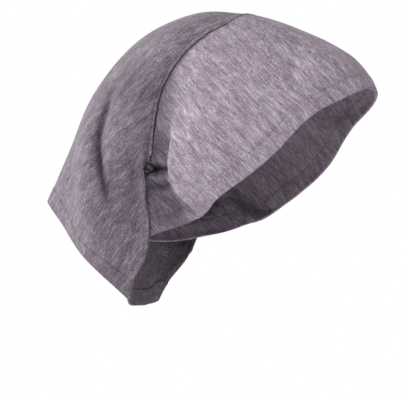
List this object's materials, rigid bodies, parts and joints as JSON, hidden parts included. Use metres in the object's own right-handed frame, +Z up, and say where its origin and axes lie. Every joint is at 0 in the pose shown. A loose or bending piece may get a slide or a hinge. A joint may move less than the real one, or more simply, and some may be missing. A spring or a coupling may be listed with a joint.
{
  "type": "underscarf cap",
  "caption": "Stretch jersey underscarf cap: a fitted front panel with a hemmed head opening, and a loose back panel that hangs open below.",
  "frame": {"origin": "inside the crown at its top, where the top of a head meets the cloth", "axes": "+Z up, the face toward -Y, the tail toward +Y, the wearer's left toward +X"},
  "size_m": [0.1652, 0.2701, 0.2279],
  "materials": {
    "front_jersey": "matt heathered knit",
    "face_hem_jersey": "matt heathered knit, folded and stitched",
    "back_jersey": "matt heathered knit",
    "tail_hem_jersey": "matt heathered knit, folded and stitched",
    "seam_jersey": "matt heathered knit, turned and overlocked"
  },
  "bodies": {
    "root": {"front_panel": "front_jersey", "face_hem": "face_hem_jersey", "back_panel": "back_jersey", "tail_hem": "tail_hem_jersey", "crown_seam": "seam_jersey"}
  },
  "joints": []
}
